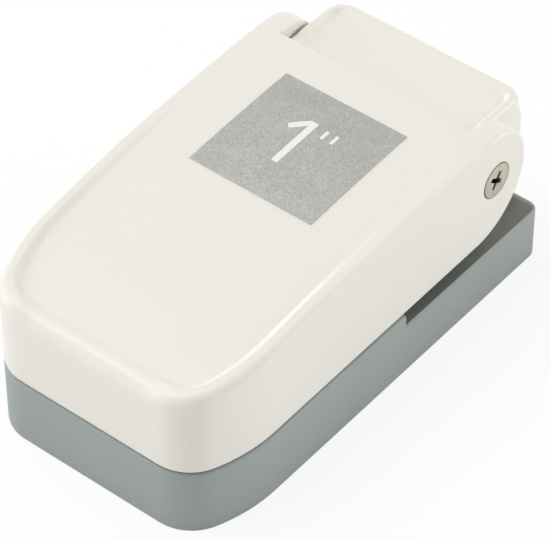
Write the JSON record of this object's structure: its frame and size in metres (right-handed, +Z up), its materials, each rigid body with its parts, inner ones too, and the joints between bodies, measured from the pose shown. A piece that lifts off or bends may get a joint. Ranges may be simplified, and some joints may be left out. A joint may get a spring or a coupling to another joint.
{
  "type": "square punch",
  "caption": "Hand-held lever punch that cuts a one inch square: grey base with a paper slot, white hinged lever with a foil size label, fixed rear head.",
  "frame": {"origin": "middle of the footprint, on the plane that the feet stand on", "axes": "+X across the punch, +Y along it towards the hinge and the paper slot, +Z up"},
  "size_m": [0.0494, 0.0898, 0.036],
  "materials": {
    "white_plastic": "semi-gloss moulded",
    "grey_plastic": "fine matt moulded",
    "plate_steel": "ground",
    "tan_steel": "yellow zinc plated",
    "nickel_fastener": "satin nickel plated",
    "silver_foil": "satin foil with fine grain",
    "foot_rubber": "matt",
    "spring_steel": "drawn wire",
    "roller_nylon": "turned",
    "ram_iron": "phosphated"
  },
  "bodies": {
    "base": {"base_shell": "grey_plastic", "bottom_cover": "grey_plastic", "rubber_feet": "foot_rubber", "cover_screws": "nickel_fastener", "die_plate": "plate_steel", "die_screws": "nickel_fastener", "throat_spacer": "plate_steel", "guide_plate": "plate_steel", "guide_screws": "nickel_fastener", "spring_posts": "plate_steel", "return_springs": "spring_steel", "ear_left": "tan_steel", "ear_right": "tan_steel", "ear_screws": "nickel_fastener", "head_housing": "white_plastic", "housing_screws": "nickel_fastener"},
    "lever": {"lever_cover": "white_plastic", "label_plate": "silver_foil", "lever_frame": "plate_steel", "frame_screws": "nickel_fastener", "press_roller": "roller_nylon", "roller_pin": "plate_steel", "pivot_sleeve": "plate_steel", "pivot_screws": "nickel_fastener", "pivot_washers": "roller_nylon"},
    "ram": {"punch_block": "plate_steel", "ram_head": "ram_iron", "ram_screws": "nickel_fastener"}
  },
  "joints": [
    {"name": "lever_hinge", "type": "hinge", "parent": "base", "child": "lever", "pos_m": [0, 0.0308, 0.02634], "axis": [-1, 0, 0], "range_deg": [0, 28]},
    {"name": "ram_slide", "type": "slide", "parent": "base", "child": "ram", "axis": [0, 0, 1], "range_m": [0, 0.00404], "deforming": ["return_springs"]}
  ],
  "couplings": [
    {"joint": "ram_slide", "follows": "lever_hinge", "m_per_rad": 0.00826}
  ]
}
